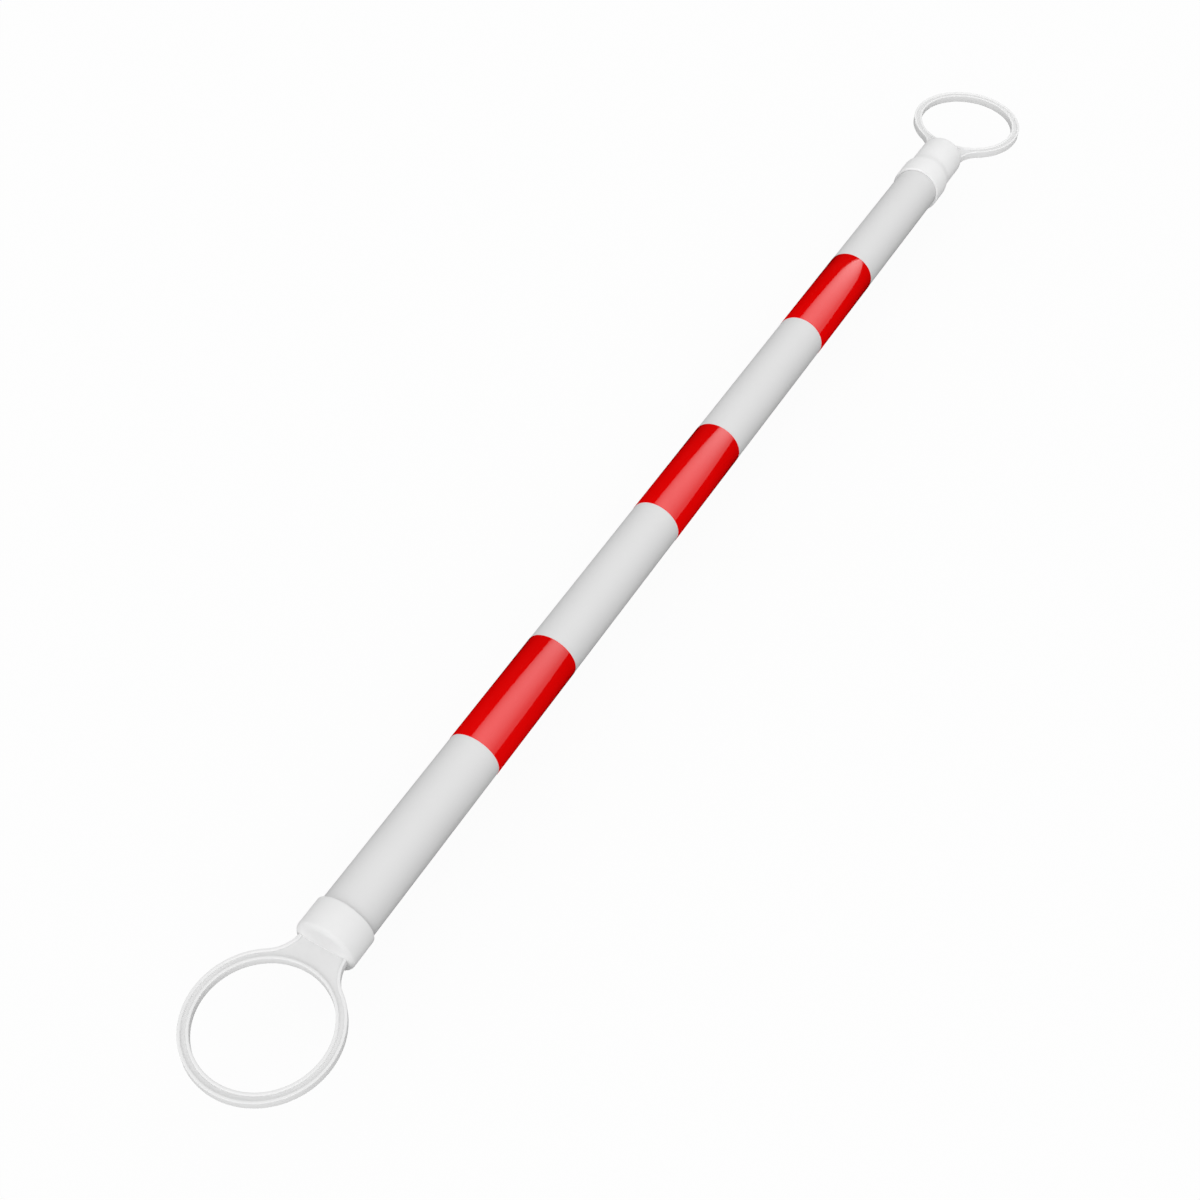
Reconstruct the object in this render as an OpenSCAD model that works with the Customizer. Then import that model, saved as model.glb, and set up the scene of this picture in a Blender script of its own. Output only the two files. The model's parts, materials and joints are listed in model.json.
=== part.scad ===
// Telescopic cone bar, pushed in: two round tubes, each with a flat ring that drops over a road cone.
// The origin is the middle of the fixed ring's bore. X runs along the bar and Z is the axis of the rings.

/* [Rings] */
// Bore of each ring
ring_bore_d = 86; // [60:1:120]
// Width of the ring across its section
ring_w = 7.1; // [6:0.1:12]
// Height of the ring along its axis
ring_h = 6.6; // [5:0.1:12]
// Width of the bead that runs along the edges of ring and neck
bead_w = 2; // [1.4:0.1:2.4]
// Depth of the groove between the beads, on either face
groove_depth = 1.6; // [0.4:0.1:2]

/* [Necks] */
// Distance from the ring's rim to the collar's end wall
neck_l = 9.8; // [5:0.1:20]
// Width of the neck where it meets the collar
neck_w = 35.5; // [26:0.5:37.5]
// Radius that leads the neck's faces up into the end wall
neck_ramp_r = 1.5; // [0.5:0.5:6]

/* [Collars] */
// Thickness of the end wall of both collars
end_wall = 3.5; // [2:0.1:6]
// Rounding of the collars' closed end
end_round_r = 3.5; // [1:0.1:6]
// Rounding of the rim at each collar's mouth
rim_r = 0.6; // [0.3:0.1:0.9]
// Wall of the fixed collar and of the end sleeve round the outer tube
collar_wall = 2; // [1.5:0.1:4]
// Length of the fixed collar
fixed_collar_l = 23.5; // [20:0.5:60]
// Length of the spigot inside the fixed collar, which backs the tube's wall
spigot_l = 16; // [8:0.5:40]
// Wall of the spigot
spigot_wall = 2; // [1:0.1:3]
// Wall of the sliding collar round the inner tube
slide_collar_wall = 3; // [2:0.1:4]
// Length of the sliding collar
slide_collar_l = 33; // [25:0.5:80]

/* [Tubes] */
// Outer diameter of the outer tube
outer_tube_od = 39.6; // [38.5:0.1:60]
// Wall of the outer tube
outer_tube_wall = 1.8; // [1.2:0.1:2.2]
// Length of the outer tube
outer_tube_l = 935.6; // [720:0.1:1500]
// Outer diameter of the inner tube
inner_tube_od = 33; // [32:0.1:33.5]
// Wall of the inner tube
inner_tube_wall = 1.6; // [1:0.1:2.5]
// Length of the inner tube
inner_tube_l = 915; // [720:1:1500]

/* [End sleeve] */
// Length of the end sleeve
sleeve_l = 30; // [20:0.5:60]
// Thickness of the lip that closes in on the inner tube
lip_t = 7; // [5:0.1:12]
// Length of the cone that leads the sleeve's nose down to the sliding collar
nose_l = 8.5; // [2:0.5:10]
// Step that is left between the sleeve's nose and the sliding collar
nose_step = 0.3; // [0:0.1:1]

/* [Red bands] */
// Length of a band
band_l = 100; // [40:1:140]
// Distance from one band to the next, middle to middle
band_pitch = 251; // [200:1:270]
// Distance of the middle band from the middle of the bare tube
band_shift = 1; // [-5:0.5:5]
// Thickness of the film
film_t = 0.2; // [0.1:0.05:0.3]
// Bond line under the film
film_bond = 0.02; // [0.01:0.01:0.05]

/* [Stop plug and friction ring] */
// Length of the plug's head behind the inner tube
head_l = 40; // [24:1:44]
// Length of the plug inside the inner tube
plug_l = 28; // [15:1:60]
// Wall of the hollow plug
plug_wall = 2.4; // [1.5:0.1:4]
// Length of each of the head's two lands
land_l = 12; // [10:0.5:12]
// Depth of the waist between the lands
waist_depth = 1.5; // [0.5:0.1:2]
// Width of the friction ring
friction_ring_w = 6; // [3:0.1:7]
// Radial thickness of the friction ring
friction_ring_t = 2; // [1.2:0.1:2.2]
// Width of the cut that lets the friction ring spring
ring_cut_w = 3; // [1:0.1:6]

/* [Clearances] */
// Radial clearance of a glued or pushed joint
glue_gap = 0.05; // [0.02:0.01:0.1]
// Radial clearance of the friction ring, in the tube and on the plug
running_gap = 0.05; // [0.02:0.01:0.1]
// Radial clearance where one section passes the other
passing_gap = 0.3; // [0.2:0.05:0.4]
// Gap left at the stop where the inner section ends its way in
closed_gap = 0.5; // [0.3:0.1:5]

/* [Hidden] */
$fn = 96;
cut = 1;

ring_bore_r = ring_bore_d / 2;
ring_r = ring_bore_r + ring_w;
web_t = ring_h - 2 * groove_depth;
collar_x = ring_r + neck_l;
neck_half = neck_w / 2;
// The neck runs half way into the collar's end wall
neck_end_x = collar_x + end_wall / 2;
// A circle of this radius touches both the ring's rim and the neck's side at its end
neck_fillet_r = (neck_end_x ^ 2 + neck_half ^ 2 - ring_r ^ 2) / (2 * (ring_r - neck_half));
// A blend cuts this far into the face that it leaves, so that it meets it at a small angle
blend_bite = 0.05;

outer_r = outer_tube_od / 2;
outer_bore_r = outer_r - outer_tube_wall;
inner_r = inner_tube_od / 2;
inner_bore_r = inner_r - inner_tube_wall;
film_stack = film_bond + film_t;

collar_r = outer_r + glue_gap + collar_wall;
slide_collar_r = inner_r + glue_gap + slide_collar_wall;
nose_r = slide_collar_r + nose_step;
lip_bore_r = inner_r + film_stack + passing_gap;
head_r = outer_bore_r - passing_gap;
friction_ring_r = outer_bore_r - running_gap;
friction_groove_r = friction_ring_r - friction_ring_t - running_gap;

outer_tube_x = collar_x + end_wall;
outer_mouth_x = outer_tube_x + outer_tube_l;
sleeve_end_x = outer_mouth_x + lip_t;
sleeve_x = sleeve_end_x - sleeve_l;
// The inner section goes in until its collar meets the sleeve or its plug meets the spigot
inner_tube_x = max(
    sleeve_end_x + closed_gap + slide_collar_l - end_wall - inner_tube_l,
    outer_tube_x + spigot_l + closed_gap + head_l
);
inner_mouth_x = inner_tube_x + inner_tube_l;
slide_ring_x = inner_mouth_x + end_wall + collar_x;
slide_mouth_x = slide_ring_x - collar_x - slide_collar_l;
head_x = inner_tube_x - head_l;
friction_ring_x = head_x + land_l / 2;

bare_tube_x = collar_x + fixed_collar_l;
bands_x = (bare_tube_x + sleeve_x) / 2 + band_shift;
inner_bands_x = (inner_tube_x + slide_mouth_x) / 2;

moulded_white = "white";
tube_white = "gainsboro";
film_red = "red";
plug_grey = "slategray";
friction_black = "black";

// Solid turned about the bar from a half section: x of the section is the radius, y runs along the bar
module turned(x) {
    translate([x, 0, 0])
        rotate([0, 90, 0])
            rotate_extrude()
                children();
}

// Half section of a bush with rounded outer corners
module bush_section(bore_r, r, l, round_start, round_end) {
    difference() {
        translate([bore_r, 0])
            square([r - bore_r, l]);
        corner_cut(r, 0, round_start, 1);
        corner_cut(r, l, round_end, -1);
    }
}

// Waste outside a quarter round at an outer corner of a half section
module corner_cut(r, y, round_r, side) {
    difference() {
        translate([r - round_r, side > 0 ? y - cut : y - round_r])
            square([round_r + cut, round_r + cut]);
        translate([r - round_r, y + side * round_r])
            circle(round_r);
    }
}

// Tube along the bar, from x on
module pipe(x, r, bore_r, l) {
    turned(x)
        translate([bore_r, 0])
            square([r - bore_r, l]);
}

// Web between the ring's middle and the collar, drawn in by the two fillets
module neck_web(inset) {
    fillet_y = neck_half + neck_fillet_r;
    difference() {
        polygon([[0, 0], [neck_end_x, fillet_y], [neck_end_x, -fillet_y]]);
        for (side = [-1, 1])
            translate([neck_end_x, side * fillet_y])
                circle(neck_fillet_r + inset + blend_bite);
    }
}

// Plan of ring and neck, drawn in from every edge by inset
module ring_plan(inset) {
    difference() {
        union() {
            circle(ring_r - inset);
            neck_web(inset);
        }
        circle(ring_bore_r + inset);
    }
}

// Flat ring and neck with a groove between the beads on either face
module ring_and_neck() {
    difference() {
        linear_extrude(ring_h, center = true)
            ring_plan(0);
        for (side = [0, 1])
            mirror([0, 0, side])
                translate([0, 0, web_t / 2])
                    linear_extrude(groove_depth + cut)
                        ring_plan(bead_w);
    }
    for (side = [0, 1])
        mirror([0, 0, side])
            neck_ramp();
}

// Concave ramp from the neck's web up into the collar's end wall
module neck_ramp() {
    ramp_w = neck_w - bead_w;
    ramp_x = collar_x - neck_ramp_r;
    ramp_z = web_t / 2 + neck_ramp_r - blend_bite;
    translate([0, ramp_w / 2, 0])
        rotate([90, 0, 0])
            linear_extrude(ramp_w)
                difference() {
                    translate([ramp_x, 0])
                        square([neck_end_x - ramp_x, ramp_z]);
                    translate([ramp_x + blend_bite, ramp_z])
                        circle(neck_ramp_r);
                }
}

// Collar closed at the ring's side, with the socket for a tube
module collar(r, socket_r, l) {
    turned(collar_x)
        difference() {
            bush_section(0, r, l, end_round_r, rim_r);
            translate([-cut, end_wall])
                square([socket_r + cut, l]);
        }
}

module fixed_ring_end() {
    color(moulded_white) {
        ring_and_neck();
        collar(collar_r, outer_r + glue_gap, fixed_collar_l);
        spigot_r = outer_bore_r - glue_gap;
        pipe(collar_x + end_wall / 2, spigot_r, spigot_r - spigot_wall, spigot_l + end_wall / 2);
    }
}

module outer_tube() {
    color(tube_white)
        pipe(outer_tube_x, outer_r, outer_bore_r, outer_tube_l);
}

// Waste outside the cone of the sleeve's nose, in the sleeve's half section
module nose_waste() {
    polygon([
        [collar_r, sleeve_l - nose_l], [nose_r, sleeve_l], [nose_r, sleeve_l + cut],
        [collar_r + cut, sleeve_l + cut], [collar_r + cut, sleeve_l - nose_l]
    ]);
}

module end_sleeve() {
    color(moulded_white)
        turned(sleeve_x)
            difference() {
                bush_section(lip_bore_r, collar_r, sleeve_l, rim_r, rim_r);
                nose_waste();
                translate([0, -cut])
                    square([outer_r + glue_gap, sleeve_l - lip_t + cut]);
            }
}

// Film wrapped round a tube, with its middle at x
module band(x, tube_r) {
    color(film_red)
        pipe(x - band_l / 2, tube_r + film_stack, tube_r + film_bond, band_l);
}

module red_band(index) {
    band(bands_x + (index - 2) * band_pitch, outer_r);
}

module inner_red_band(index) {
    band(inner_bands_x + (index - 2) * band_pitch, inner_r);
}

module sliding_ring_end() {
    color(moulded_white)
        translate([slide_ring_x, 0, 0])
            mirror([1, 0, 0]) {
                ring_and_neck();
                collar(slide_collar_r, inner_r + glue_gap, slide_collar_l);
            }
}

module inner_tube() {
    color(tube_white)
        pipe(inner_tube_x, inner_r, inner_bore_r, inner_tube_l);
}

// Hollow plug: a body inside the inner tube and a waisted head behind it, grooved for the friction ring
module stop_plug() {
    plug_r = inner_bore_r - glue_gap;
    color(plug_grey)
        turned(head_x)
            difference() {
                union() {
                    bush_section(0, head_r, head_l, rim_r, rim_r);
                    translate([0, head_l / 2])
                        bush_section(0, plug_r, head_l / 2 + plug_l, rim_r, rim_r);
                }
                translate([head_r - waist_depth, land_l])
                    square([waist_depth + cut, head_l - 2 * land_l]);
                translate([friction_groove_r, friction_ring_x - head_x - running_gap - friction_ring_w / 2])
                    square([head_r, friction_ring_w + 2 * running_gap]);
                translate([-cut, end_wall])
                    square([plug_r - plug_wall + cut, head_l + plug_l]);
            }
}

// Split ring that rubs in the outer tube
module friction_ring() {
    color(friction_black)
        difference() {
            pipe(friction_ring_x - friction_ring_w / 2, friction_ring_r, friction_ring_r - friction_ring_t,
                friction_ring_w);
            translate([friction_ring_x, 0, friction_ring_r])
                cube([friction_ring_w + 2 * cut, ring_cut_w, 2 * (friction_ring_t + cut)], center = true);
        }
}

fixed_ring_end();
outer_tube();
end_sleeve();
red_band(1);  // red_band_1
red_band(2);  // red_band_2
red_band(3);  // red_band_3
sliding_ring_end();
inner_tube();
inner_red_band(1);  // inner_red_band_1
inner_red_band(2);  // inner_red_band_2
inner_red_band(3);  // inner_red_band_3
stop_plug();
friction_ring();
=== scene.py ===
"""Looks of a telescopic cone bar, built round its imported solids.

The bar is shown pushed in, over a pale studio floor: two moulded ring ends, two drawn tubes, a sleeve on
the mouth of the outer tube, and bands of wrapped red film. The stop plug and its friction ring are inside.
"""
import json
import logging
import math
from dataclasses import dataclass
from enum import Enum

import bpy
from mathutils import Matrix, Vector


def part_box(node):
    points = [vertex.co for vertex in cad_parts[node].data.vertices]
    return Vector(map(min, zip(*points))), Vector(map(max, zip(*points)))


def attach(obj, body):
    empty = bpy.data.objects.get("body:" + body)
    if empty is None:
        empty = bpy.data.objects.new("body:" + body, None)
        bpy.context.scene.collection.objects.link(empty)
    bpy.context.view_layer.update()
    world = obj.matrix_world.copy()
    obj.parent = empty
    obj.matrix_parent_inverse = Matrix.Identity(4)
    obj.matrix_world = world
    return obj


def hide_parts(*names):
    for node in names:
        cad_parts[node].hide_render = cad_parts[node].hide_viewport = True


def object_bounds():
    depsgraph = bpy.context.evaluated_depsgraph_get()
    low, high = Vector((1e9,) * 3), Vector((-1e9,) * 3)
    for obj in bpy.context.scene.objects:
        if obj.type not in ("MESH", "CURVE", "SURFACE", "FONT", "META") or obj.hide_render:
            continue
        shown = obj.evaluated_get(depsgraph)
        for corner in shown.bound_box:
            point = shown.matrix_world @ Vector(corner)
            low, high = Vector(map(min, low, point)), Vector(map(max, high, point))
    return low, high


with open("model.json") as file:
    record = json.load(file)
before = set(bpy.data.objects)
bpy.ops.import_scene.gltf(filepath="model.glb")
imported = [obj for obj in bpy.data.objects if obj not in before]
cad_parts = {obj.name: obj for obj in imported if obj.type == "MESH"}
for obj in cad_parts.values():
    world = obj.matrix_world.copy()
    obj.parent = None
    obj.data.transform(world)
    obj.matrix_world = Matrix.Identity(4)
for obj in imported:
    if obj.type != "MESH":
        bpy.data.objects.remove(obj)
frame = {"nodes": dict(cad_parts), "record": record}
cad_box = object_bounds()

log = logging.getLogger("cone_bar")

Flat = tuple[float, float]
Point = tuple[float, float, float]
Colour = tuple[float, float, float, float]

MM = 0.001
WELD = 0.001 * MM
SMOOTH_ANGLE = math.radians(30)
ALONG_BAR: Point = (1.0, 0.0, 0.0)
UPRIGHT: Point = (0.0, 0.0, 1.0)
ORIGIN: Point = (0.0, 0.0, 0.0)
# Name of the attribute that marks where shade is painted on the mouldings
PAINTED_SHADE_MARK = "recess"
BAND_NUMBERS = (1, 2, 3)

# Clearances and walls of the bar, as its solids have them
GLUE_GAP = 0.05 * MM
PASSING_GAP = 0.3 * MM
NOSE_STEP = 0.3 * MM
OUTER_WALL = 1.8 * MM
INNER_WALL = 1.6 * MM

# How far the sleeve's nose runs past its solid, and how far the floor keeps from the upright ring
NOSE_REACH = 0.3 * MM
FLOOR_GAP = 1.0 * MM

# The lines that a die leaves on a drawn tube: their scale along the bar and across it, and their finer layers
DIE_LINES: Point = (2.0, 700.0, 700.0)
DIE_LINE_DETAIL = 3.0


def grey(tone: float) -> Colour:
    """An opaque grey."""
    return (tone, tone, tone, 1.0)


WHITE = grey(1.0)
BLACK = grey(0.0)


class Slot(Enum):
    """The finishes of the bar, under the names that its record gives them."""

    MOULDED_WHITE = "moulded_white"
    TUBE_WHITE = "tube_white"
    FILM_RED = "film_red"
    PLUG_GREY = "plug_grey"
    FRICTION_BLACK = "friction_black"


class Body(Enum):
    """The bodies that the pieces ride on."""

    OUTER = "outer_section"
    INNER = "inner_section"


class Facing(Enum):
    """The way a ring end points: the turn about the upright axis that brings it there."""

    START = 0.0
    FAR_END = math.pi


@dataclass(frozen=True)
class Corner:
    """A corner of an outline, and the radius that rounds it."""

    x: float
    y: float
    radius: float = 0.0


def arc(centre: Flat, radius: float, start: float, end: float, steps: int) -> list[Flat]:
    """Points along an arc.

    Args:
        centre: Middle of the arc's circle.
        radius: Radius of the circle.
        start: Angle of the first point, in radians.
        end: Angle of the last point, in radians.
        steps: Number of chords.

    Returns:
        The points from start to end, both included.
    """
    angles = [start + (end - start) * index / steps for index in range(steps + 1)]
    return [(centre[0] + radius * math.cos(angle), centre[1] + radius * math.sin(angle)) for angle in angles]


def rounded(corners: list[Corner], steps: int = 5) -> list[Flat]:
    """Rounds the corners of a closed outline.

    Args:
        corners: The corners in order.
        steps: Number of chords in each round.

    Returns:
        The outline's points.
    """
    points: list[Flat] = []
    for index, corner in enumerate(corners):
        here = Vector((corner.x, corner.y))
        before = corners[index - 1]
        after = corners[(index + 1) % len(corners)]
        back = (Vector((before.x, before.y)) - here).normalized()
        ahead = (Vector((after.x, after.y)) - here).normalized()
        if corner.radius == 0.0:
            points.append((here.x, here.y))
            continue
        half = back.angle(ahead) / 2
        middle = here + (back + ahead).normalized() * corner.radius / math.sin(half)
        reach = corner.radius / math.tan(half)
        first = here + back * reach - middle
        last = here + ahead * reach - middle
        start = math.atan2(first.y, first.x)
        turn = (math.atan2(last.y, last.x) - start + math.pi) % math.tau - math.pi
        points += arc((middle.x, middle.y), corner.radius, start, start + turn, steps)
    return points


def beside_bar(outline: list[Flat]) -> list[Point]:
    """Lays a half section of (along the bar, radius) points on the side of the bar."""
    return [(along, radius, 0.0) for along, radius in outline]


def draw(name: str, points: list[Point], closed: bool = True) -> bpy.types.Object:
    """Draws a line of edges by extruding one vertex, and stays in edit mode with the line selected.

    Args:
        name: Name of the new piece.
        points: Points of the line.
        closed: Whether the line returns to its first point.

    Returns:
        The new piece.
    """
    bpy.ops.object.select_all(action="DESELECT")
    bpy.ops.mesh.primitive_plane_add(size=1.0)
    piece = bpy.context.object
    piece.name = name
    piece.data.name = name
    bpy.ops.object.mode_set(mode="EDIT")
    bpy.ops.mesh.select_all(action="SELECT")
    bpy.ops.mesh.merge(type="CENTER")
    bpy.ops.transform.translate(value=points[0])
    route = points + points[:1] if closed else points
    for here, there in zip(route, route[1:]):
        bpy.ops.mesh.extrude_region_move(TRANSFORM_OT_translate={"value": Vector(there) - Vector(here)})
    bpy.ops.mesh.select_all(action="SELECT")
    bpy.ops.mesh.remove_doubles(threshold=WELD)
    return piece


def close_up() -> None:
    """Welds the doubles of the mesh in hand, turns its faces outwards and leaves edit mode."""
    bpy.ops.mesh.select_all(action="SELECT")
    bpy.ops.mesh.remove_doubles(threshold=WELD)
    bpy.ops.mesh.normals_make_consistent(inside=False)
    bpy.ops.object.mode_set(mode="OBJECT")


def lathe(
    name: str, points: list[Point], axis: Point, steps: int, closed: bool = True
) -> bpy.types.Object:
    """Turns a half section into a solid of revolution about a line through the origin.

    Args:
        name: Name of the new piece.
        points: The half section. An open one starts and ends on the axis.
        axis: Direction of the axis.
        steps: Number of facets round the axis.
        closed: Whether the half section returns to its first point.

    Returns:
        The new piece.
    """
    piece = draw(name, points, closed)
    bpy.ops.mesh.spin(steps=steps, angle=math.tau, center=ORIGIN, axis=axis)
    close_up()
    return piece


def prism(name: str, points: list[Point], depth: Point) -> bpy.types.Object:
    """Extrudes a closed outline into a solid.

    Args:
        name: Name of the new piece.
        points: The outline.
        depth: How far, and which way, it is extruded.

    Returns:
        The new piece.
    """
    piece = draw(name, points)
    bpy.ops.mesh.edge_face_add()
    bpy.ops.mesh.extrude_region_move(TRANSFORM_OT_translate={"value": depth})
    close_up()
    return piece


@dataclass(frozen=True)
class Leg:
    """One stretch of a swept section: a turn about a centre."""

    centre: Point
    turn: float
    steps: int


def sweep(name: str, section: list[Point], axis: Point, legs: list[Leg]) -> bpy.types.Object:
    """Sweeps a closed section through one turn after another, and caps both ends.

    Args:
        name: Name of the new piece.
        section: The closed section at the start.
        axis: Axis of every turn.
        legs: The turns in order.

    Returns:
        The new piece.
    """
    piece = draw(name, section)
    for leg in legs:
        # The spin tool counts its angle clockwise
        bpy.ops.mesh.spin(steps=leg.steps, angle=-leg.turn, center=leg.centre, axis=axis)
    bpy.ops.mesh.select_all(action="SELECT")
    bpy.ops.mesh.remove_doubles(threshold=WELD)
    bpy.ops.mesh.fill_holes(sides=0)
    close_up()
    return piece


def pick(piece: bpy.types.Object) -> None:
    """Selects a piece alone and makes it the active one.

    Args:
        piece: The piece.
    """
    bpy.ops.object.select_all(action="DESELECT")
    piece.select_set(True)
    bpy.context.view_layer.objects.active = piece


def work(piece: bpy.types.Object, kind: str, **settings: object) -> None:
    """Puts a modifier on a piece and applies it.

    Args:
        piece: The piece.
        kind: Kind of modifier.
        **settings: The modifier's settings.
    """
    modifier = piece.modifiers.new(kind, kind)
    for name, value in settings.items():
        setattr(modifier, name, value)
    pick(piece)
    bpy.ops.object.modifier_apply(modifier=modifier.name)


class Cut(Enum):
    """What a tool does to a piece."""

    UNITE = "UNION"
    TAKE_AWAY = "DIFFERENCE"


def combine(piece: bpy.types.Object, tool: bpy.types.Object, cut: Cut) -> None:
    """Unites a piece with a tool, or takes the tool out of it, and clears the tool away.

    Args:
        piece: The piece.
        tool: The tool, a closed solid.
        cut: What the tool does.
    """
    work(piece, "BOOLEAN", object=tool, operation=cut.value, solver="EXACT")
    bpy.data.objects.remove(tool)


def shade(piece: bpy.types.Object) -> None:
    """Shades a piece smooth, apart from its sharp edges."""
    pick(piece)
    bpy.ops.object.shade_smooth_by_angle(angle=SMOOTH_ANGLE)


def blank_material(name: str) -> bpy.types.Material:
    """Makes a material, or empties the one that has the name.

    Args:
        name: Its name.

    Returns:
        The material, with an empty node tree.
    """
    blank = bpy.data.materials.get(name) or bpy.data.materials.new(name)
    blank.use_nodes = True
    blank.node_tree.nodes.clear()
    return blank


def show(tree: bpy.types.NodeTree, look: bpy.types.NodeSocket) -> None:
    """Makes a shader the surface of a material."""
    surface = tree.nodes.new("ShaderNodeOutputMaterial")
    tree.links.new(look, surface.inputs["Surface"])


@dataclass(frozen=True)
class Noise:
    """A noise pattern: its usual scale, its finer layers, and the values that become 0 and 1."""

    name: str
    scale: float
    detail: float
    low: float
    high: float


class Effect(Enum):
    """Surface effects that several finishes share, each a node group."""

    GRAIN = Noise("mould_grain", scale=2500.0, detail=2.0, low=0.25, high=0.75)
    DRIFT = Noise("tone_drift", scale=14.0, detail=3.0, low=0.3, high=0.7)


def new_group(pattern: Noise) -> bpy.types.ShaderNodeTree:
    """Starts a node group with the inputs and outputs that every effect has.

    Args:
        pattern: The pattern that it will make.

    Returns:
        The group, with its input and output nodes.
    """
    group = bpy.data.node_groups.new(pattern.name, "ShaderNodeTree")
    group.interface.new_socket("Vector", in_out="INPUT", socket_type="NodeSocketVector")
    scale = group.interface.new_socket("Scale", in_out="INPUT", socket_type="NodeSocketFloat")
    scale.default_value = pattern.scale
    group.interface.new_socket("Mask", in_out="OUTPUT", socket_type="NodeSocketFloat")
    group.nodes.new("NodeGroupInput").name = "in"
    group.nodes.new("NodeGroupOutput").name = "out"
    return group


def noise_group(effect: Effect) -> bpy.types.ShaderNodeTree:
    """Noise spread over the whole range from 0 to 1, made once for each effect.

    Args:
        effect: The effect that the noise makes.

    Returns:
        The node group.
    """
    pattern = effect.value
    found = bpy.data.node_groups.get(pattern.name)
    if found:
        return found
    group = new_group(pattern)
    links = group.links
    noise = group.nodes.new("ShaderNodeTexNoise")
    noise.inputs["Detail"].default_value = pattern.detail
    spread = group.nodes.new("ShaderNodeMapRange")
    spread.inputs["From Min"].default_value = pattern.low
    spread.inputs["From Max"].default_value = pattern.high
    links.new(group.nodes["in"].outputs["Vector"], noise.inputs["Vector"])
    links.new(group.nodes["in"].outputs["Scale"], noise.inputs["Scale"])
    links.new(noise.outputs["Fac"], spread.inputs["Value"])
    links.new(spread.outputs["Result"], group.nodes["out"].inputs["Mask"])
    return group


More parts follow.
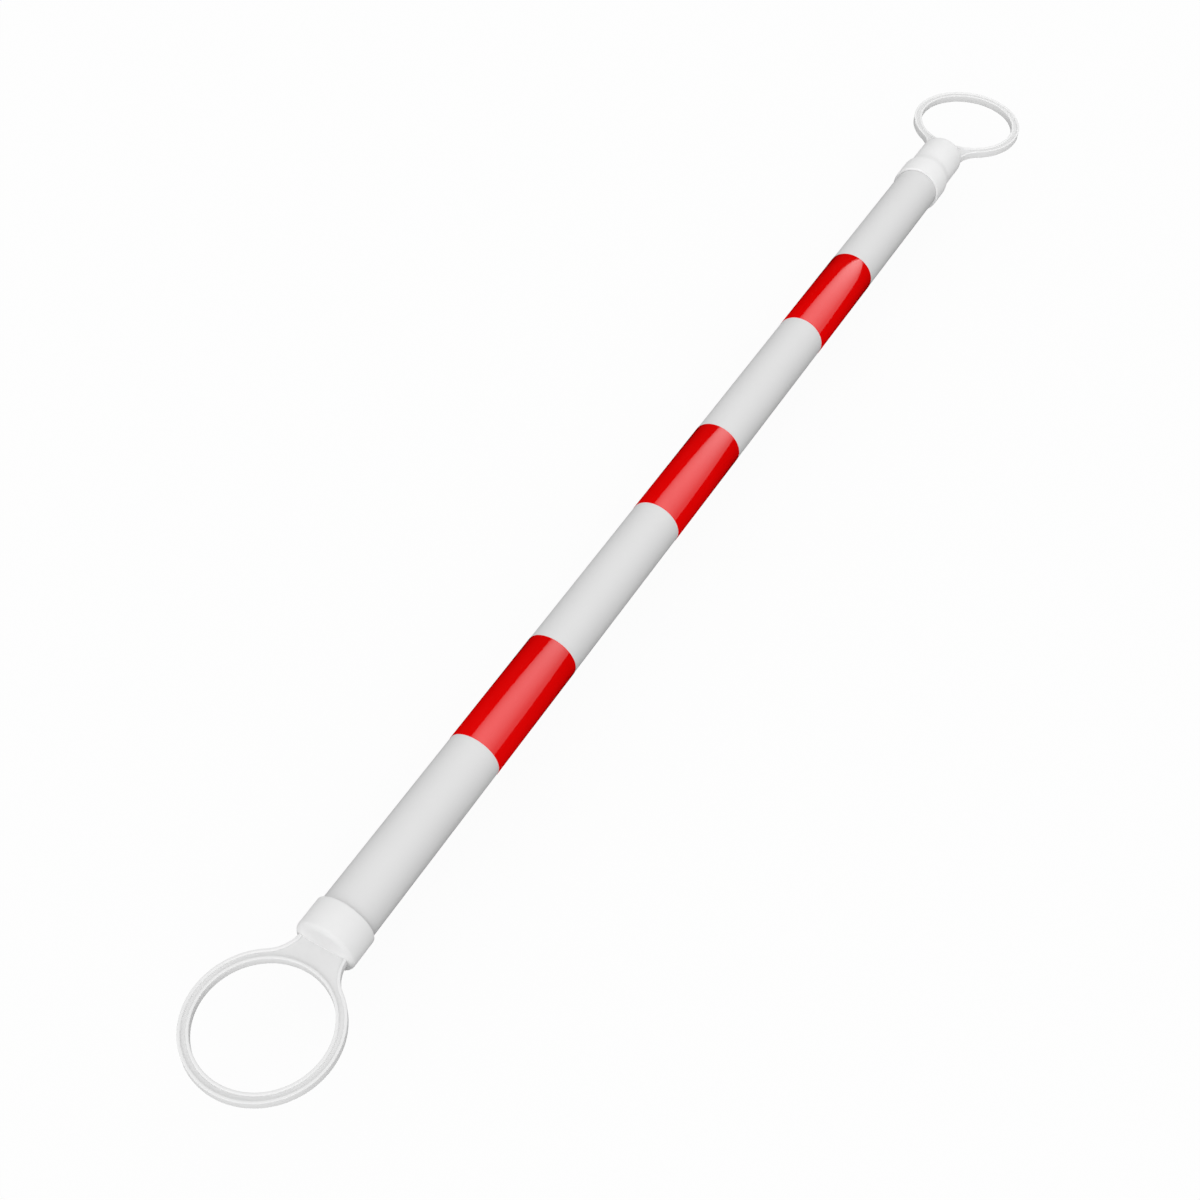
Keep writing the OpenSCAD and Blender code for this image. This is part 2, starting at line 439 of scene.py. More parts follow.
@dataclass(frozen=True)
class Plastic:
    """A plastic finish: two close tones, a fine grain, a gloss that drifts a little, and painted shade on
    marked faces.
    """

    slot: Slot
    dark: Colour
    light: Colour
    smoothest: float
    roughest: float
    grain_scale: float
    grain_depth: float
    drawn_lines: float = 0.0
    shine: float = 0.5
    matt: float = 0.0
    # Colour of the painted shade, on the faces that a piece marks
    recess: Colour | None = None

    def material(self) -> bpy.types.Material:
        """The finish as a material, made once.

        Returns:
            The material.
        """
        found = bpy.data.materials.get(self.slot.value)
        if found and found.get("dressed"):
            return found
        made = blank_material(self.slot.value)
        made["dressed"] = True
        self._lay_out(made.node_tree)
        return made

    def _lay_out(self, tree: bpy.types.ShaderNodeTree) -> None:
        """Lays out the nodes of the finish.

        Args:
            tree: The material's empty node tree.
        """
        nodes, links = tree.nodes, tree.links
        plastic = nodes.new("ShaderNodeBsdfPrincipled")
        show(tree, plastic.outputs["BSDF"])
        plastic.inputs["Specular IOR Level"].default_value = self.shine
        plastic.inputs["Diffuse Roughness"].default_value = self.matt
        place = nodes.new("ShaderNodeTexCoord").outputs["Object"]
        drift = self._effect(tree, Effect.DRIFT, Effect.DRIFT.value.scale, place)
        grain = self._effect(tree, Effect.GRAIN, self.grain_scale, place)
        tone = nodes.new("ShaderNodeMix")
        tone.data_type = "RGBA"
        tone.inputs["A"].default_value = self.dark
        tone.inputs["B"].default_value = self.light
        links.new(drift, tone.inputs["Factor"])
        colour = tone.outputs["Result"]
        # Painted shade: the marked faces take the darker colour, in place of the shade that falls there
        if self.recess:
            colour = self._paint_shade(tree, colour)
        links.new(colour, plastic.inputs["Base Color"])
        gloss = nodes.new("ShaderNodeMapRange")
        gloss.inputs["To Min"].default_value = self.smoothest
        gloss.inputs["To Max"].default_value = self.roughest
        links.new(drift, gloss.inputs["Value"])
        links.new(gloss.outputs["Result"], plastic.inputs["Roughness"])
        relief = nodes.new("ShaderNodeBump")
        relief.inputs["Distance"].default_value = self.grain_depth
        links.new(grain, relief.inputs["Height"])
        if self.drawn_lines:
            links.new(self._lines(tree, place), relief.inputs["Normal"])
        links.new(relief.outputs["Normal"], plastic.inputs["Normal"])

    def _effect(
        self,
        tree: bpy.types.ShaderNodeTree,
        effect: Effect,
        scale: float,
        place: bpy.types.NodeSocket,
    ) -> bpy.types.NodeSocket:
        """Places a shared effect in the finish.

        Args:
            tree: The material's node tree.
            effect: The effect.
            scale: Scale of the effect on this finish.
            place: Coordinates on the surface.

        Returns:
            The effect's mask.
        """
        node = tree.nodes.new("ShaderNodeGroup")
        node.node_tree = noise_group(effect)
        node.inputs["Scale"].default_value = scale
        tree.links.new(place, node.inputs["Vector"])
        return node.outputs["Mask"]

    def _paint_shade(
        self, tree: bpy.types.ShaderNodeTree, colour: bpy.types.NodeSocket
    ) -> bpy.types.NodeSocket:
        """Paints shade on the faces that a piece marks: a darker colour that stands in for the shade of its
        recesses.

        Args:
            tree: The material's node tree.
            colour: The colour of the other faces.

        Returns:
            The colour of all faces.
        """
        mark = tree.nodes.new("ShaderNodeAttribute")
        mark.attribute_name = PAINTED_SHADE_MARK
        with_shade = tree.nodes.new("ShaderNodeMix")
        with_shade.data_type = "RGBA"
        with_shade.inputs["B"].default_value = self.recess
        tree.links.new(mark.outputs["Fac"], with_shade.inputs["Factor"])
        tree.links.new(colour, with_shade.inputs["A"])
        return with_shade.outputs["Result"]

    def _lines(self, tree: bpy.types.ShaderNodeTree, place: bpy.types.NodeSocket) -> bpy.types.NodeSocket:
        """Faint lines along the bar, as a die leaves them on a drawn tube.

        Args:
            tree: The material's node tree.
            place: Coordinates on the surface.

        Returns:
            The normal that the lines give.
        """
        nodes, links = tree.nodes, tree.links
        stretch = nodes.new("ShaderNodeMapping")
        stretch.inputs["Scale"].default_value = DIE_LINES
        noise = nodes.new("ShaderNodeTexNoise")
        noise.inputs["Scale"].default_value = 1.0
        noise.inputs["Detail"].default_value = DIE_LINE_DETAIL
        lines = nodes.new("ShaderNodeBump")
        lines.inputs["Distance"].default_value = self.drawn_lines
        links.new(place, stretch.inputs["Vector"])
        links.new(stretch.outputs["Vector"], noise.inputs["Vector"])
        links.new(noise.outputs["Fac"], lines.inputs["Height"])
        return lines.outputs["Normal"]


MOULDED_WHITE = Plastic(
    slot=Slot.MOULDED_WHITE,
    dark=grey(0.88),
    light=grey(0.90),
    smoothest=0.6,
    roughest=0.7,
    grain_scale=2500.0,
    grain_depth=0.003 * MM,
    shine=0.08,
    matt=0.3,
    # Painted shade for the web and the collar's end wall, darker than the moulding's own white
    recess=grey(0.73),
)
TUBE_WHITE = Plastic(
    slot=Slot.TUBE_WHITE,
    dark=grey(0.76),
    light=grey(0.78),
    smoothest=0.7,
    roughest=0.8,
    grain_scale=3500.0,
    grain_depth=0.002 * MM,
    drawn_lines=0.01 * MM,
    shine=0.25,
)
FILM_RED = Plastic(
    slot=Slot.FILM_RED,
    dark=(0.81, 0.001, 0.001, 1.0),
    light=(0.84, 0.002, 0.002, 1.0),
    smoothest=0.05,
    roughest=0.08,
    grain_scale=6000.0,
    grain_depth=0.001 * MM,
    matt=0.8,
)
PLUG_GREY = Plastic(
    slot=Slot.PLUG_GREY,
    dark=(0.18, 0.19, 0.20, 1.0),
    light=(0.22, 0.23, 0.24, 1.0),
    smoothest=0.45,
    roughest=0.6,
    grain_scale=2500.0,
    grain_depth=0.02 * MM,
)
FRICTION_BLACK = Plastic(
    slot=Slot.FRICTION_BLACK,
    dark=grey(0.025),
    light=grey(0.035),
    smoothest=0.35,
    roughest=0.5,
    grain_scale=3000.0,
    grain_depth=0.01 * MM,
)


def dress(piece: bpy.types.Object, finish: Plastic, body: Body, *nodes: str) -> None:
    """Gives a new piece its finish and its body, and hides the solids that it stands for.

    Args:
        piece: The piece.
        finish: Its finish.
        body: The body that it rides on.
        *nodes: The solids that it replaces.
    """
    piece.data.materials.clear()
    piece.data.materials.append(finish.material())
    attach(piece, body.value)
    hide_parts(*nodes)
    log.info("%s: %d faces on %s", piece.name, len(piece.data.polygons), body.value)


@dataclass
class RingEnd:
    """A moulded ring end: a flat ring with a bead along each edge, its neck, and a closed collar."""

    node: str
    body: Body
    facing: Facing
    ring_x: float
    bore_r: float
    ring_r: float
    ring_h: float
    collar_x: float
    collar_r: float
    collar_l: float
    socket_r: float
    spigot_r: float = 0.0
    spigot_l: float = 16.0 * MM
    spigot_wall: float = 2.0 * MM
    bead_w: float = 2.0 * MM
    groove_depth: float = 1.6 * MM
    bead_round: float = 0.6 * MM
    neck_w: float = 35.5 * MM
    ramp_r: float = 0.25 * MM
    end_wall: float = 3.5 * MM
    end_round: float = 3.5 * MM
    rim_round: float = 0.6 * MM
    # How much painted shade the web, the foot of the collar's end wall and its rounded edge take, and the
    # length over which the edge's fades
    web_painted_shade: float = 0.2
    foot_painted_shade: float = 1.0
    edge_painted_shade: float = 0.26
    edge_shade_fade: float = 4.0 * MM
    slack: float = 0.01 * MM
    facets: int = 192
    fillet_steps: int = 24
    ramp_steps: int = 8

    @property
    def web_h(self) -> float:
        """Height of the web between the beads."""
        return self.ring_h - 2 * self.groove_depth

    @property
    def neck_end(self) -> float:
        """Where the neck ends, half way into the collar's end wall."""
        return self.collar_x + self.end_wall / 2

    @property
    def fillet_r(self) -> float:
        """Radius that touches both the ring's rim and the neck's side."""
        half = self.neck_w / 2
        return (self.neck_end**2 + half**2 - self.ring_r**2) / (2 * (self.ring_r - half))

    @property
    def fillet_y(self) -> float:
        """How far the fillet's centre lies beside the bar."""
        return self.neck_w / 2 + self.fillet_r

    @property
    def fillet_angle(self) -> float:
        """Angle of the fillet's centre, seen from the middle of the ring."""
        return math.atan2(self.fillet_y, self.neck_end)

    def build(self) -> None:
        """Models the ring end and dresses it."""
        piece = self._plate()
        combine(piece, self._bore_tool(), Cut.TAKE_AWAY)
        for part in (self._bore_bead(), self._rim_bead(), self._neck_ramp(), self._collar()):
            combine(piece, part, Cut.UNITE)
        # Marks the faces that get painted shade
        self._mark_painted_shade(piece)
        self._put_in_place(piece)
        shade(piece)
        dress(piece, MOULDED_WHITE, self.body, self.node)

    def _mark_painted_shade(self, piece: bpy.types.Object) -> None:
        """Marks where shade is painted: on the web, and on the collar's end wall, most at its foot and fading
        over its rounded edge.

        Args:
            piece: The moulding, with its ring about the origin.
        """
        web_top = self.web_h / 2 + self.ramp_r + self.slack
        wall_r = self.collar_r - self.end_round - self.slack
        mark = piece.data.attributes.new(PAINTED_SHADE_MARK, "FLOAT", "POINT")
        for vertex, painted_share in zip(piece.data.vertices, mark.data):
            past_wall = vertex.co.x - self.collar_x
            if past_wall > -self.slack:
                at_foot = past_wall < self.slack and vertex.co.yz.length < wall_r
                fading = max(0.0, 1 - past_wall / self.edge_shade_fade)
                painted_share.value = self.foot_painted_shade if at_foot else self.edge_painted_shade * fading
            elif abs(vertex.co.z) < web_top:
                painted_share.value = self.web_painted_shade

    def _plate(self) -> bpy.types.Object:
        """The flat web of the ring and neck, out to the middle of the rim's bead.

        Returns:
            The web, to which the rest is added.
        """
        rim_r = self.ring_r - self.bead_w / 2
        side_r = self.fillet_r + self.bead_w / 2
        angle = self.fillet_angle
        quarter = math.pi / 2
        left = (self.neck_end, self.fillet_y)
        right = (self.neck_end, -self.fillet_y)
        outline = (
            arc(left, side_r, -quarter, angle - math.pi, self.fillet_steps)
            + arc((0.0, 0.0), rim_r, angle, math.tau - angle, self.facets)[1:]
            + arc(right, side_r, math.pi - angle, quarter, self.fillet_steps)[1:]
        )
        bottom = -self.web_h / 2
        name = f"{self.node}_moulding"
        return prism(name, [(x, y, bottom) for x, y in outline], (0.0, 0.0, self.web_h))

    def _bore_tool(self) -> bpy.types.Object:
        """The tool that opens the bore, as wide as the middle of the bore's bead.

        Returns:
            A disc that stands out above and below the web.
        """
        radius = self.bore_r + self.bead_w / 2
        top = self.ring_h
        section = [(0.0, 0.0, -top), (radius, 0.0, -top), (radius, 0.0, top), (0.0, 0.0, top)]
        return lathe("bore_tool", section, UPRIGHT, self.facets, closed=False)

    def _bore_bead(self) -> bpy.types.Object:
        """The bead round the bore.

        Returns:
            The bead, a closed solid.
        """
        top = self.ring_h / 2
        bead_r = self.bore_r + self.bead_w
        corners = [
            Corner(self.bore_r, -top, self.bead_round),
            Corner(bead_r, -top, self.bead_round),
            Corner(bead_r, top, self.bead_round),
            Corner(self.bore_r, top, self.bead_round),
        ]
        section = [(radius, 0.0, height) for radius, height in rounded(corners)]
        return lathe("bore_bead", section, UPRIGHT, self.facets)

    def _rim_bead(self) -> bpy.types.Object:
        """The bead that runs from the collar along the neck, round the rim and back along the neck.

        Returns:
            The bead, a closed solid.
        """
        top = self.ring_h / 2
        outside = self.neck_w / 2
        inside = outside - self.bead_w
        corners = [
            Corner(outside, -top, self.bead_round),
            Corner(outside, top, self.bead_round),
            Corner(inside, top, self.bead_round),
            Corner(inside, -top, self.bead_round),
        ]
        section = [(self.neck_end, across, height) for across, height in rounded(corners)]
        neck_turn = math.pi / 2 - self.fillet_angle
        legs = [
            Leg((self.neck_end, self.fillet_y, 0.0), -neck_turn, self.fillet_steps),
            Leg(ORIGIN, math.tau - 2 * self.fillet_angle, self.facets),
            Leg((self.neck_end, -self.fillet_y, 0.0), -neck_turn, self.fillet_steps),
        ]
        return sweep("rim_bead", section, UPRIGHT, legs)

    def _neck_ramp(self) -> bpy.types.Object:
        """The hollow ramps that lead the web's two faces up into the collar's end wall.

        Returns:
            A block with both ramps.
        """
        web = self.web_h / 2
        reach = self.ramp_r
        centre_x = self.collar_x - reach
        upper = arc((centre_x, web + reach), reach, -math.pi / 2, 0.0, self.ramp_steps)
        lower = arc((centre_x, -web - reach), reach, 0.0, math.pi / 2, self.ramp_steps)
        outline = upper + [(self.neck_end, web + reach), (self.neck_end, -web - reach)] + lower
        width = self.neck_w - self.bead_w
        return prism("neck_ramp", [(x, -width / 2, z) for x, z in outline], (0.0, width, 0.0))

    def _collar(self) -> bpy.types.Object:
        """The collar, closed by its end wall, with a spigot inside where the tube is wide enough for one.

        Returns:
            The collar, a closed solid.
        """
        start = self.collar_x
        floor = start + self.end_wall
        mouth = start + self.collar_l
        corners = [
            Corner(start, 0.0),
            Corner(start, self.collar_r, self.end_round),
            Corner(mouth, self.collar_r, self.rim_round),
            Corner(mouth, self.socket_r, self.rim_round / 2),
            Corner(floor, self.socket_r),
        ]
        if self.spigot_r:
            spigot_bore = self.spigot_r - self.spigot_wall
            corners += [
                Corner(floor, self.spigot_r),
                Corner(floor + self.spigot_l, self.spigot_r, self.rim_round),
                Corner(floor + self.spigot_l, spigot_bore),
                Corner(floor, spigot_bore),
            ]
        corners.append(Corner(floor, 0.0))
        return lathe("collar", beside_bar(rounded(corners)), ALONG_BAR, self.facets, closed=False)

    def _put_in_place(self, piece: bpy.types.Object) -> None:
        """Turns the moulding the way it faces and moves it along the bar.

        Args:
            piece: The moulding, with its ring about the origin.
        """
        bpy.ops.object.mode_set(mode="EDIT")
        bpy.ops.mesh.select_all(action="SELECT")
        bpy.ops.transform.rotate(value=self.facing.value, orient_axis="Z", center_override=ORIGIN)
        bpy.ops.transform.translate(value=(self.ring_x, 0.0, 0.0))
        bpy.ops.object.mode_set(mode="OBJECT")


@dataclass
class Tube:
    """A drawn tube with the edges of its cut ends rounded a little."""

    node: str
    body: Body
    start: float
    end: float
    radius: float
    wall: float
    edge: float = 0.3 * MM
    facets: int = 160

    def build(self) -> None:
        """Models the tube and dresses it."""
        bore_r = self.radius - self.wall
        corners = [
            Corner(self.start, self.radius, self.edge),
            Corner(self.end, self.radius, self.edge),
            Corner(self.end, bore_r, self.edge),
            Corner(self.start, bore_r, self.edge),
        ]
        piece = lathe(f"{self.node}_drawn", beside_bar(rounded(corners)), ALONG_BAR, self.facets)
        shade(piece)
        dress(piece, TUBE_WHITE, self.body, self.node)


@dataclass
class EndSleeve:
    """The moulded sleeve on the outer tube's mouth, with a soft nose and a lip round the inner tube."""

    node: str
    body: Body
    start: float
    end: float
    radius: float
    socket_r: float
    lip: float
    lip_bore_r: float
    nose_r: float
    nose_l: float = 9.5 * MM
    nose_land: float = 2.0 * MM
    nose_round: float = 14.0 * MM
    nose_edge: float = 0.2 * MM
    rim_round: float = 0.6 * MM
    facets: int = 160

    def build(self) -> None:
        """Models the sleeve and dresses it."""
        corners = [
            Corner(self.start, self.socket_r, self.rim_round / 2),
            Corner(self.start, self.radius, self.rim_round),
            Corner(self.end - self.nose_l, self.radius, self.nose_round),
            Corner(self.end - self.nose_land, self.nose_r, self.nose_round),
            Corner(self.end, self.nose_r, self.nose_edge),
            Corner(self.end, self.lip_bore_r, self.nose_edge),
            Corner(self.lip, self.lip_bore_r),
            Corner(self.lip, self.socket_r),
        ]
        piece = lathe(f"{self.node}_moulding", beside_bar(rounded(corners)), ALONG_BAR, self.facets)
        shade(piece)
        dress(piece, MOULDED_WHITE, self.body, self.node)


@dataclass
class FilmBand:
    """A strip of red film wrapped once round a tube, its end lapped over its start under the bar."""

    node: str
    body: Body
    start: float
    end: float
    radius: float
    film_t: float = 0.2 * MM
    bond: float = 0.02 * MM
    edge: float = 0.05 * MM
    lap: float = 8.0 * MM
    climb_turn: float = math.radians(30)
    facets: int = 144
    lap_steps: int = 12
    edge_steps: int = 2

    def build(self) -> None:
        """Models the wrapped strip and dresses it."""
        inner_r = self.radius - self.film_t
        corners = [
            Corner(self.start, inner_r),
            Corner(self.start, self.radius, self.edge),
            Corner(self.end, self.radius, self.edge),
            Corner(self.end, inner_r),
        ]
        section = [(along, 0.0, -radius) for along, radius in rounded(corners, self.edge_steps)]
        lap_turn = self.lap / self.radius
        flat_turn = math.tau - self.climb_turn
        climb = self.film_t + self.bond
        offset = climb / (1 - math.cos(self.climb_turn))
        climb_start = flat_turn - math.pi / 2
        climb_centre = (0.0, -offset * math.cos(climb_start), -offset * math.sin(climb_start))
        legs = [
            Leg(ORIGIN, flat_turn, self.facets),
            Leg(climb_centre, self.climb_turn, self.lap_steps),
            Leg(ORIGIN, lap_turn, self.lap_steps),
        ]
        piece = sweep(f"{self.node}_film", section, ALONG_BAR, legs)
        shade(piece)
        dress(piece, FILM_RED, self.body, self.node)


@dataclass
class HiddenFittings:
    """The stop plug and its friction ring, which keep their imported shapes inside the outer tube."""

    plug: str = "stop_plug"
    ring: str = "friction_ring"

    def build(self) -> None:
        """Gives both pieces their finish."""
        for name, finish in ((self.plug, PLUG_GREY), (self.ring, FRICTION_BLACK)):
            solid = frame["nodes"][name]
            solid.data.materials.clear()
            solid.data.materials.append(finish.material())
            log.info("%s: finish %s", name, finish.slot.value)


@dataclass
class Studio:
    """A pale floor, soft light, what the glossy film mirrors, and the camera of the photograph."""

    floor_z: float
    middle_x: float
    floor_size: float = 14.0
    floor_colour: Colour = grey(0.9)
    floor_bounce: Colour = grey(0.12)
    floor_lift: float = 0.93
    ambient: float = 0.82
    key_power: float = 1.06
    key_swing: float = math.radians(21)
    key_lift: float = math.radians(18)
    key_spread: float = math.radians(50)
    tent_r: float = 3.5
    tent_l: float = 14.0
    strip_angle: float = math.radians(115)
    strip_reach: float = 1.2
    strip_x: float = 2.1
    strip_size: Flat = (4.6, 3.5)
    strip_light: float = 3.1
    strip_edge: float = 1.0
    strip_peak: float = 0.6
    strip_fall: float = 0.5
    aim_x: float = 0.3928
    aim_y: float = -0.0029
    camera_reach: float = 1.2383
    camera_swing: float = math.radians(28.05)
    camera_lift: float = math.radians(49.41)
    camera_roll: float = math.radians(2.8)
    lens: float = 51.26

    def build(self) -> None:
        """Sets up the whole studio."""
        bpy.context.scene.view_settings.view_transform = "Standard"
        self._world()
        self._floor()
        self._key()
        self._black_tent()
        self._strip_panel()
        self._camera()

    def _beside(self, along: float, angle: float, reach: float) -> Vector:
        """A point off the bar's axis, at an angle about it."""
        return Vector((along, reach * math.cos(angle), reach * math.sin(angle)))

    def _towards_camera(self, swing: float, lift: float) -> Vector:
        """A direction on the camera's side of the bar, by its swing off the bar's line and its height."""
        flat = math.cos(lift)
        return Vector((-flat * math.cos(swing), -flat * math.sin(swing), math.sin(lift)))

    def _seen_directly(self, tree: bpy.types.NodeTree) -> bpy.types.NodeSocket:
        """A mask that is 1 for what the camera sees, by itself, mirrored or through something clear.

        Args:
            tree: Node tree of the world or of a material.

        Returns:
            The mask.
        """
        rays = tree.nodes.new("ShaderNodeLightPath")
        seen = rays.outputs["Is Camera Ray"]
        for kind in ("Is Glossy Ray", "Is Transmission Ray"):
            either = tree.nodes.new("ShaderNodeMath")
            either.operation = "MAXIMUM"
            tree.links.new(seen, either.inputs[0])
            tree.links.new(rays.outputs[kind], either.inputs[1])
            seen = either.outputs["Value"]
        return seen

    def _world(self) -> None:
        """An even surround that lights the bar, white where it is seen."""
        world = bpy.data.worlds.new("studio")
        bpy.context.scene.world = world
        world.use_nodes = True
        nodes, links = world.node_tree.nodes, world.node_tree.links
        nodes.clear()
        surround = nodes.new("ShaderNodeBackground")
        surround.inputs["Strength"].default_value = self.ambient
        white = nodes.new("ShaderNodeBackground")
        for background in (surround, white):
            background.inputs["Color"].default_value = WHITE
        mix = nodes.new("ShaderNodeMixShader")
        links.new(self._seen_directly(world.node_tree), mix.inputs["Fac"])
        links.new(surround.outputs["Background"], mix.inputs[1])
        links.new(white.outputs["Background"], mix.inputs[2])
        surface = nodes.new("ShaderNodeOutputWorld")
        links.new(mix.outputs["Shader"], surface.inputs["Surface"])

    def _floor(self) -> None:
        """A pale floor under the bar, lifted towards white where it is seen, that keeps the shadow."""
        bpy.ops.object.select_all(action="DESELECT")
        place = (self.middle_x, 0.0, self.floor_z)
        bpy.ops.mesh.primitive_plane_add(size=self.floor_size, location=place)
        floor = bpy.context.object
        floor.name = "studio_floor"
        paint = blank_material("studio_floor")
        nodes, links = paint.node_tree.nodes, paint.node_tree.links
        seen = self._seen_directly(paint.node_tree)
        dull = nodes.new("ShaderNodeBsdfDiffuse")
        dull.inputs["Color"].default_value = self.floor_bounce
        pale = nodes.new("ShaderNodeBsdfDiffuse")
        pale.inputs["Color"].default_value = self.floor_colour
        white = nodes.new("ShaderNodeEmission")
        lifted = nodes.new("ShaderNodeMixShader")
        lifted.inputs["Fac"].default_value = self.floor_lift
        links.new(pale.outputs["BSDF"], lifted.inputs[1])
        links.new(white.outputs["Emission"], lifted.inputs[2])
        mix = nodes.new("ShaderNodeMixShader")
        links.new(seen, mix.inputs["Fac"])
        links.new(dull.outputs["BSDF"], mix.inputs[1])
        links.new(lifted.outputs["Shader"], mix.inputs[2])
        show(paint.node_tree, mix.outputs["Shader"])
        floor.data.materials.append(paint)
        floor.visible_glossy = False

    def _key(self) -> None:
        """The main lamp: a far, wide and soft one on the camera's side, without a mirror image."""
        bpy.ops.object.select_all(action="DESELECT")
        bpy.ops.object.light_add(type="SUN")
        lamp = bpy.context.object
        lamp.name = "key_lamp"
        lamp.data.energy = self.key_power
        lamp.data.angle = self.key_spread
        towards_lamp = self._towards_camera(self.key_swing, self.key_lift)
        lamp.rotation_euler = towards_lamp.to_track_quat("Z", "Y").to_euler()
        lamp.visible_camera = False
        lamp.visible_glossy = False

    def _reflections_only(self, stage: bpy.types.Object) -> None:
        """Keeps a piece of the stage out of everything but mirror images.

        Args:
            stage: The piece.
        """
        stage.visible_camera = False
        stage.visible_diffuse = False
        stage.visible_transmission = False
        stage.visible_shadow = False

    def _black_tent(self) -> None:
        """A black tent round the bar, which keeps the film's mirror images dark beside the light strip."""
        bpy.ops.object.select_all(action="DESELECT")
        bpy.ops.mesh.primitive_cylinder_add(
            radius=self.tent_r,
            depth=self.tent_l,
            location=(self.middle_x, 0.0, 0.0),
            rotation=(0.0, math.pi / 2, 0.0),
        )
        tent = bpy.context.object
        tent.name = "black_tent"
        cloth = blank_material("black_tent")
        black = cloth.node_tree.nodes.new("ShaderNodeBsdfDiffuse")
        black.inputs["Color"].default_value = BLACK
        show(cloth.node_tree, black.outputs["BSDF"])
        tent.data.materials.append(cloth)
        self._reflections_only(tent)

    def _strip_panel(self) -> None:
        """The long light panel whose mirror image shows as a strip along the glossy film."""
        bpy.ops.object.select_all(action="DESELECT")
        place = self._beside(self.strip_x, self.strip_angle, self.strip_reach)
        bpy.ops.mesh.primitive_plane_add(size=1.0, location=place)
        panel = bpy.context.object
        panel.name = "strip_panel"
        panel.scale = (*self.strip_size, 1.0)
        panel.rotation_euler = (self.strip_angle - math.pi / 2, 0.0, 0.0)
        glow = blank_material("strip_panel")
        nodes, links = glow.node_tree.nodes, glow.node_tree.links
        across = nodes.new("ShaderNodeSeparateXYZ")
        links.new(nodes.new("ShaderNodeTexCoord").outputs["UV"], across.inputs["Vector"])
        off = nodes.new("ShaderNodeMath")
        off.operation = "SUBTRACT"
        off.inputs[1].default_value = self.strip_peak
        links.new(across.outputs["Y"], off.inputs[0])
        side = nodes.new("ShaderNodeMath")
        side.operation = "ABSOLUTE"
        links.new(off.outputs["Value"], side.inputs[0])
        fall = nodes.new("ShaderNodeMapRange")
        fall.interpolation_type = "SMOOTHSTEP"
        fall.inputs["From Max"].default_value = self.strip_fall
        fall.inputs["To Min"].default_value = self.strip_light
        fall.inputs["To Max"].default_value = self.strip_edge
        links.new(side.outputs["Value"], fall.inputs["Value"])
        shine = nodes.new("ShaderNodeEmission")
        links.new(fall.outputs["Result"], shine.inputs["Strength"])
        show(glow.node_tree, shine.outputs["Emission"])
        panel.data.materials.append(glow)
        self._reflections_only(panel)

    def _camera(self) -> None:
        """The camera, at the photograph's angle."""
        aim = Vector((self.aim_x, self.aim_y, 0.0))
        offset = self.camera_reach * self._towards_camera(self.camera_swing, self.camera_lift)
        bpy.ops.object.select_all(action="DESELECT")
        bpy.ops.object.camera_add(location=aim + offset)
        camera = bpy.context.object
        camera.name = "photo_camera"
        turn = (-offset).to_track_quat("-Z", "Y").to_matrix().to_4x4()
        turn.translation = aim + offset
        camera.matrix_world = turn @ Matrix.Rotation(self.camera_roll, 4, "Z")
        camera.data.lens = self.lens
        bpy.context.scene.camera = camera


def mount(name: str) -> dict:
    """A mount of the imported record, by its name."""
    return next(entry for entry in frame["record"]["mounts"] if entry["name"] == name)


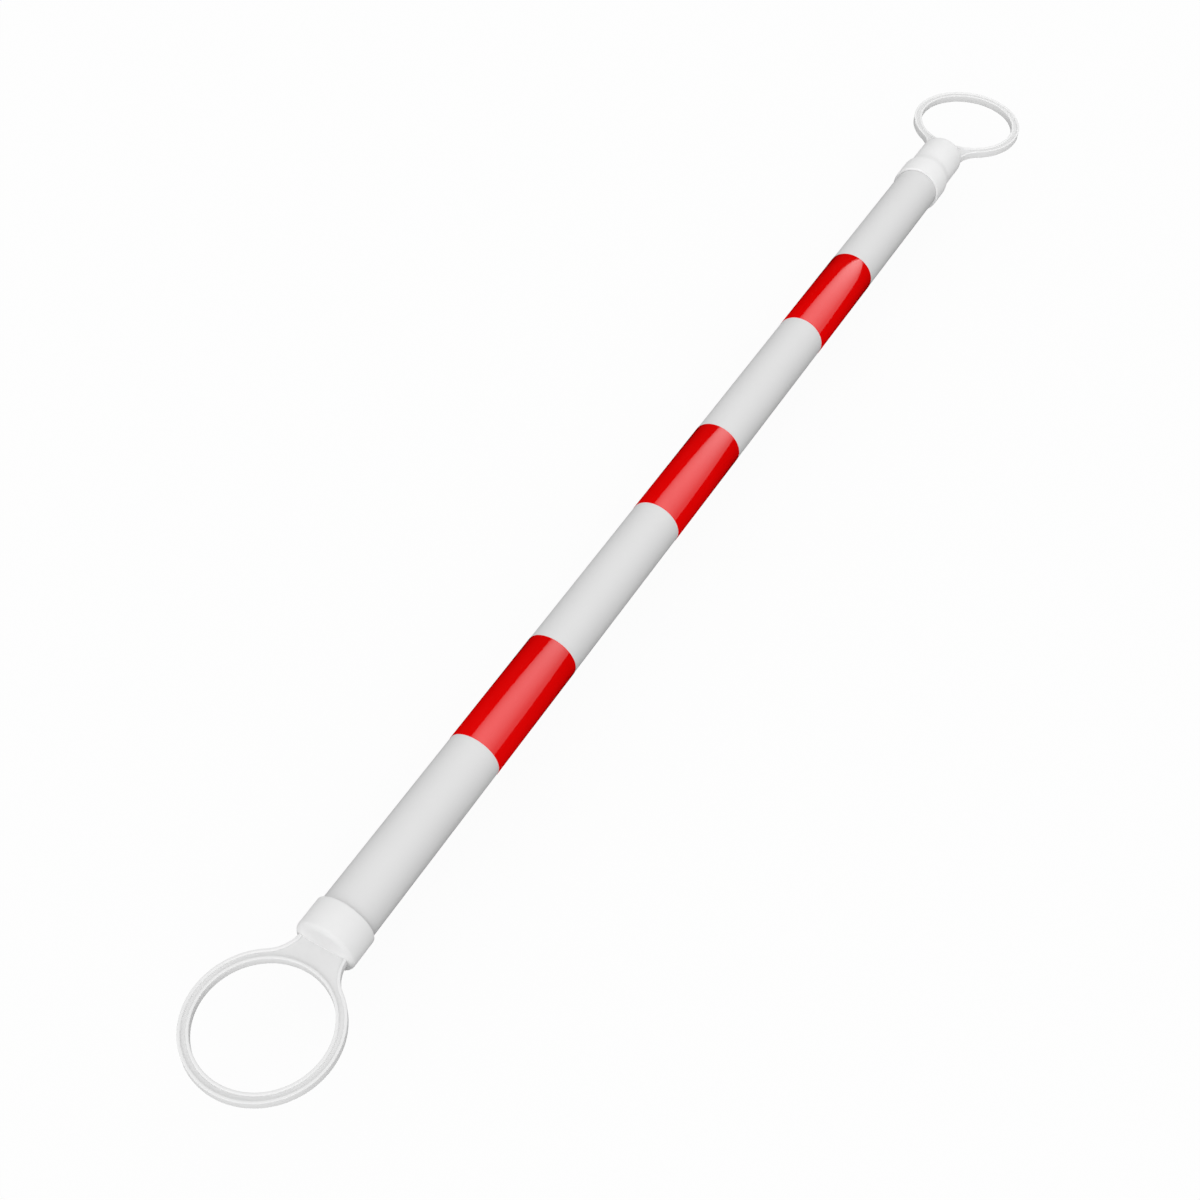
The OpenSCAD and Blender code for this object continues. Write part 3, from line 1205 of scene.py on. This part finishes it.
def build_ring_ends() -> None:
    """Builds both ring ends from the sizes in the frame."""
    fixed = mount("fixed_ring_bore")
    sliding = mount("sliding_ring_bore")
    low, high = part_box("fixed_ring_end")
    sliding_low, sliding_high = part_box("sliding_ring_end")
    outer_low, outer_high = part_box("outer_tube")
    _, inner_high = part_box("inner_tube")
    collar_x = outer_low.x - RingEnd.end_wall
    sliding_x = sliding["pos_m"][0]
    shared = dict(
        bore_r=fixed["dims"]["r_mm"] * MM,
        ring_r=-low.x,
        ring_h=fixed["dims"]["length_mm"] * MM,
        collar_x=collar_x,
    )
    RingEnd(
        node="fixed_ring_end",
        body=Body.OUTER,
        facing=Facing.START,
        ring_x=0.0,
        collar_r=high.z,
        collar_l=high.x - collar_x,
        socket_r=outer_high.z + GLUE_GAP,
        spigot_r=outer_high.z - OUTER_WALL - GLUE_GAP,
        **shared,
    ).build()
    RingEnd(
        node="sliding_ring_end",
        body=Body.INNER,
        facing=Facing.FAR_END,
        ring_x=sliding_x,
        collar_r=sliding_high.z,
        collar_l=sliding_x - collar_x - sliding_low.x,
        socket_r=inner_high.z + GLUE_GAP,
        rim_round=EndSleeve.nose_edge,
        **shared,
    ).build()


def build_tubes() -> None:
    """Builds both tubes, the sleeve and the film bands from the sizes in the frame."""
    for node, body, wall in (("outer_tube", Body.OUTER, OUTER_WALL), ("inner_tube", Body.INNER, INNER_WALL)):
        low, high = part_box(node)
        Tube(node, body, start=low.x, end=high.x, radius=high.z, wall=wall).build()
    low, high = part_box("end_sleeve")
    _, tube_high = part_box("outer_tube")
    _, film_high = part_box("inner_red_band_1")
    _, sliding_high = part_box("sliding_ring_end")
    EndSleeve(
        node="end_sleeve",
        body=Body.OUTER,
        start=low.x,
        end=high.x + NOSE_REACH,
        radius=high.z,
        socket_r=tube_high.z + GLUE_GAP,
        lip=tube_high.x,
        lip_bore_r=film_high.z + PASSING_GAP,
        nose_r=sliding_high.z + NOSE_STEP,
    ).build()
    for prefix, body in (("red_band", Body.OUTER), ("inner_red_band", Body.INNER)):
        for number in BAND_NUMBERS:
            node = f"{prefix}_{number}"
            low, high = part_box(node)
            FilmBand(node, body, start=low.x, end=high.x, radius=high.z).build()


def main() -> None:
    """Builds the bar and its studio in order."""
    logging.basicConfig(level=logging.INFO, format="%(name)s %(message)s")
    build_ring_ends()
    build_tubes()
    HiddenFittings().build()
    low, high = cad_box
    # The floor stays clear of the sliding ring when the ring stands upright
    Studio(floor_z=low.y - FLOOR_GAP, middle_x=(low.x + high.x) / 2).build()


if __name__ == "__main__":
    main()
